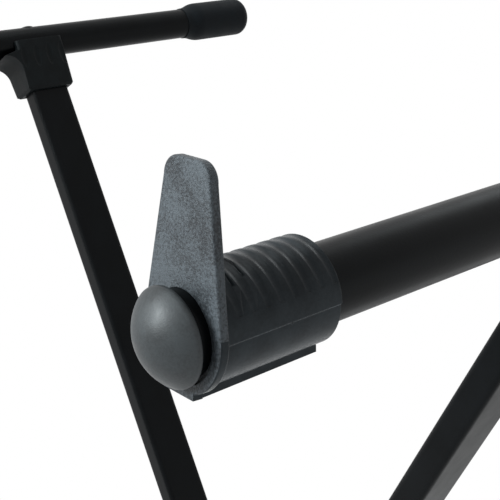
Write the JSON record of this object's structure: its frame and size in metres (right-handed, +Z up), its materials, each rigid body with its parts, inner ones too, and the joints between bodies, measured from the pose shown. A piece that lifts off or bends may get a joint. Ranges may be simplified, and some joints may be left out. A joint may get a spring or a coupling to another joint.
{
  "type": "keyboard_stand",
  "caption": "Folding X-frame stand: crossed rectangular legs carry two round arms, each with an upright fin on a ribbed sleeve that stops a keyboard, over two foot tubes.",
  "frame": {"origin": "on the floor, midway between the four feet, in the plane between the two crossed legs", "axes": "+Z up; +Y along the arms from the keyboard's front edge to its back; +X from the left arm to the right arm"},
  "size_m": [0.559, 0.4896, 1.0668],
  "materials": {
    "coated_steel": "satin black powder coat",
    "moulded_plastic": "black moulded plastic with a fine leather grain",
    "black_rubber": "matte black rubber",
    "plain_steel": "zinc-plated steel",
    "dark_steel": "blackened steel",
    "bush_plastic": "natural nylon"
  },
  "bodies": {
    "rear_frame": {"rear_leg": "coated_steel", "left_arm_tube": "coated_steel", "left_arm_bracket": "moulded_plastic", "left_arm_bolt": "dark_steel", "left_arm_nut_block": "plain_steel", "left_front_plug": "moulded_plastic", "left_rear_bumper": "black_rubber", "right_foot_tube": "coated_steel", "right_foot_bracket": "moulded_plastic", "right_foot_bolt": "dark_steel", "right_foot_nut_block": "plain_steel", "right_foot_caps": "black_rubber", "pivot_bolt": "plain_steel", "pivot_nut": "plain_steel", "front_pivot_washer": "plain_steel", "rear_pivot_washer": "plain_steel", "rear_pivot_bush": "bush_plastic", "rear_pivot_cover": "moulded_plastic", "lock_housing": "moulded_plastic", "lock_housing_screws": "plain_steel", "lock_spring": "plain_steel"},
    "front_frame": {"front_leg": "coated_steel", "right_arm_tube": "coated_steel", "right_arm_bracket": "moulded_plastic", "right_arm_bolt": "dark_steel", "right_arm_nut_block": "plain_steel", "right_front_plug": "moulded_plastic", "right_rear_bumper": "black_rubber", "left_foot_tube": "coated_steel", "left_foot_bracket": "moulded_plastic", "left_foot_bolt": "dark_steel", "left_foot_nut_block": "plain_steel", "left_foot_caps": "black_rubber", "front_pivot_bush": "bush_plastic", "front_pivot_cover": "moulded_plastic", "index_plate": "dark_steel", "index_plate_rivets": "plain_steel"},
    "left_stop": {"left_retainer": "moulded_plastic"},
    "right_stop": {"right_retainer": "moulded_plastic"},
    "lock_plunger": {"lock_pin": "plain_steel", "lock_knob": "moulded_plastic"}
  },
  "joints": [
    {"name": "fold", "type": "hinge", "parent": "rear_frame", "child": "front_frame", "pos_m": [0, 0, 0.51792], "axis": [0, 1, 0], "range_deg": [-46, 54]},
    {"name": "left_stop_turn", "type": "hinge", "parent": "rear_frame", "child": "left_stop", "pos_m": [-0.26292, -0.21, 1.02084], "axis": [0, -1, 0], "range_deg": [0, 180]},
    {"name": "right_stop_turn", "type": "hinge", "parent": "front_frame", "child": "right_stop", "pos_m": [0.26292, -0.21, 1.02084], "axis": [0, 1, 0], "range_deg": [0, 180]},
    {"name": "lock_slide", "type": "slide", "parent": "rear_frame", "child": "lock_plunger", "axis": [0, -1, 0], "range_m": [0, 0.0024]}
  ]
}
